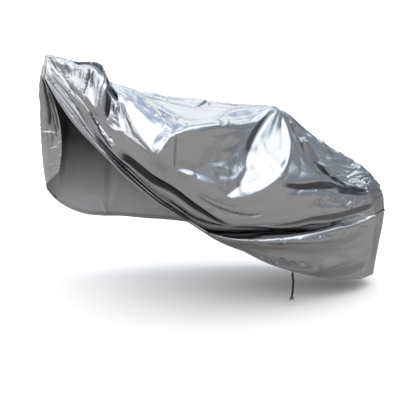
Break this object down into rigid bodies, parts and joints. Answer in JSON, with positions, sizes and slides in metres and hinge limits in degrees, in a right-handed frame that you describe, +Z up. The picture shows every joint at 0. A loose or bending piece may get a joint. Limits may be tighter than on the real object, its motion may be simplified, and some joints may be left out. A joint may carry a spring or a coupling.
{
  "type": "bicycle cover",
  "caption": "Silver film cloth cover, hollow, draped as over a bicycle with turned bars and a saddle, hitched up at the front, with a hem strap and clip.",
  "frame": {"origin": "the point under the top where the saddle carries the cover, just inside the cloth", "axes": "+X towards the rear of the cover, +Y away from the side with the strap, +Z up"},
  "size_m": [1.5509, 0.703, 1.0586],
  "materials": {
    "silver_film": "thin cloth with a glossy silver coating outside, duller grey inside, creased",
    "tab_tape": "grey woven tape",
    "strap_tape": "black woven tape",
    "clip_plastic": "black moulded plastic"
  },
  "bodies": {
    "root": {"near_side_panel": "silver_film", "far_side_panel": "silver_film", "centre_gusset": "silver_film", "strap_tab": "tab_tape", "hem_strap": "strap_tape", "strap_clip": "clip_plastic"}
  },
  "joints": []
}
